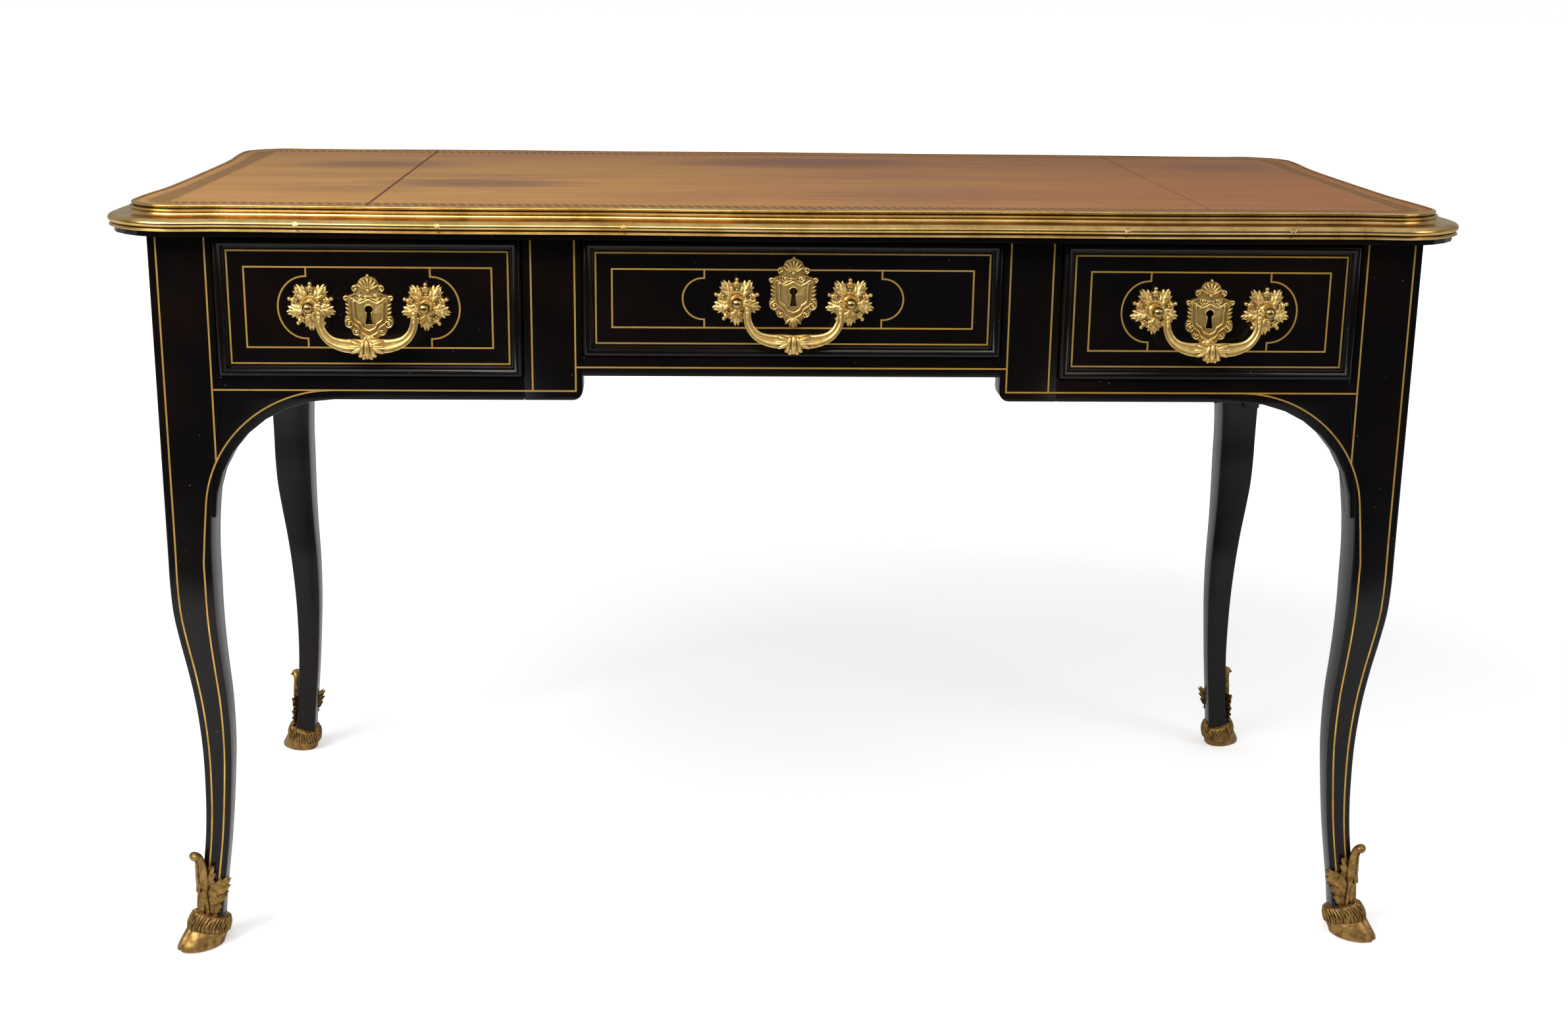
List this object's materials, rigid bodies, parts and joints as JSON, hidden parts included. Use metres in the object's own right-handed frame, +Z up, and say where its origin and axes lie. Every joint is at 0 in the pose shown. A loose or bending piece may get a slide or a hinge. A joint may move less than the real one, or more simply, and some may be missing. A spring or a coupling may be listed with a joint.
{
  "type": "bureau plat",
  "caption": "Flat-topped writing desk with a leather writing surface, brass edge, cabriole legs on hoof feet and sliding frieze drawers with bail handles and locks.",
  "frame": {"origin": "on the floor under the middle of the top", "axes": "+Z up, +X to the right as seen from the front, the drawers open towards -Y"},
  "size_m": [1.3092, 0.6496, 0.766],
  "materials": {
    "ebonised_wood": "polished black ebonised wood",
    "drawer_oak": "waxed oak",
    "leather": "tooled tan leather",
    "edge_brass": "polished brass",
    "gilt_bronze": "gilt bronze",
    "shoe_bronze": "worn gilt bronze",
    "lock_brass": "dull brass",
    "lock_steel": "steel"
  },
  "bodies": {
    "desk": {"top_board": "ebonised_wood", "leather_left": "leather", "leather_centre": "leather", "leather_right": "leather", "brass_edge_front": "edge_brass", "brass_edge_back": "edge_brass", "brass_edge_left": "edge_brass", "brass_edge_right": "edge_brass", "leg_front_left": "ebonised_wood", "leg_front_right": "ebonised_wood", "leg_rear_left": "ebonised_wood", "leg_rear_right": "ebonised_wood", "sabot_front_left": "shoe_bronze", "sabot_front_right": "shoe_bronze", "sabot_rear_left": "shoe_bronze", "sabot_rear_right": "shoe_bronze", "post_left": "ebonised_wood", "post_right": "ebonised_wood", "apron_left": "ebonised_wood", "apron_right": "ebonised_wood", "rail_centre": "ebonised_wood", "side_panel_left": "ebonised_wood", "side_panel_right": "ebonised_wood", "back_panel": "ebonised_wood", "partition_left": "ebonised_wood", "partition_right": "ebonised_wood"},
    "drawer_left": {"drawer_left_front": "ebonised_wood", "drawer_left_side_left": "drawer_oak", "drawer_left_side_right": "drawer_oak", "drawer_left_back": "drawer_oak", "drawer_left_bottom": "drawer_oak", "handle_left_rosette_left": "gilt_bronze", "handle_left_rosette_right": "gilt_bronze", "escutcheon_left": "gilt_bronze", "lock_left_case": "lock_brass"},
    "bail_left": {"handle_left_bail": "gilt_bronze"},
    "bolt_left": {"lock_left_bolt": "lock_steel"},
    "drawer_centre": {"drawer_centre_front": "ebonised_wood", "drawer_centre_side_left": "drawer_oak", "drawer_centre_side_right": "drawer_oak", "drawer_centre_back": "drawer_oak", "drawer_centre_bottom": "drawer_oak", "handle_centre_rosette_left": "gilt_bronze", "handle_centre_rosette_right": "gilt_bronze", "escutcheon_centre": "gilt_bronze", "lock_centre_case": "lock_brass"},
    "bail_centre": {"handle_centre_bail": "gilt_bronze"},
    "bolt_centre": {"lock_centre_bolt": "lock_steel"},
    "drawer_right": {"drawer_right_front": "ebonised_wood", "drawer_right_side_left": "drawer_oak", "drawer_right_side_right": "drawer_oak", "drawer_right_back": "drawer_oak", "drawer_right_bottom": "drawer_oak", "handle_right_rosette_left": "gilt_bronze", "handle_right_rosette_right": "gilt_bronze", "escutcheon_right": "gilt_bronze", "lock_right_case": "lock_brass"},
    "bail_right": {"handle_right_bail": "gilt_bronze"},
    "bolt_right": {"lock_right_bolt": "lock_steel"}
  },
  "joints": [
    {"name": "drawer_left_slide", "type": "slide", "parent": "desk", "child": "drawer_left", "axis": [0, -1, 0], "range_m": [0, 0.38]},
    {"name": "bail_left_lift", "type": "hinge", "parent": "drawer_left", "child": "bail_left", "pos_m": [-0.4055, -0.303, 0.6704], "axis": [-1, 0, 0], "range_deg": [0, 95]},
    {"name": "bolt_left_throw", "type": "slide", "parent": "drawer_left", "child": "bolt_left", "axis": [0, 0, 1], "range_m": [0, 0.01]},
    {"name": "drawer_centre_slide", "type": "slide", "parent": "desk", "child": "drawer_centre", "axis": [0, -1, 0], "range_m": [0, 0.38]},
    {"name": "bail_centre_lift", "type": "hinge", "parent": "drawer_centre", "child": "bail_centre", "pos_m": [0, -0.303, 0.6769], "axis": [-1, 0, 0], "range_deg": [0, 95]},
    {"name": "bolt_centre_throw", "type": "slide", "parent": "drawer_centre", "child": "bolt_centre", "axis": [0, 0, 1], "range_m": [0, 0.01]},
    {"name": "drawer_right_slide", "type": "slide", "parent": "desk", "child": "drawer_right", "axis": [0, -1, 0], "range_m": [0, 0.38]},
    {"name": "bail_right_lift", "type": "hinge", "parent": "drawer_right", "child": "bail_right", "pos_m": [0.4055, -0.303, 0.6704], "axis": [-1, 0, 0], "range_deg": [0, 95]},
    {"name": "bolt_right_throw", "type": "slide", "parent": "drawer_right", "child": "bolt_right", "axis": [0, 0, 1], "range_m": [0, 0.01]}
  ]
}
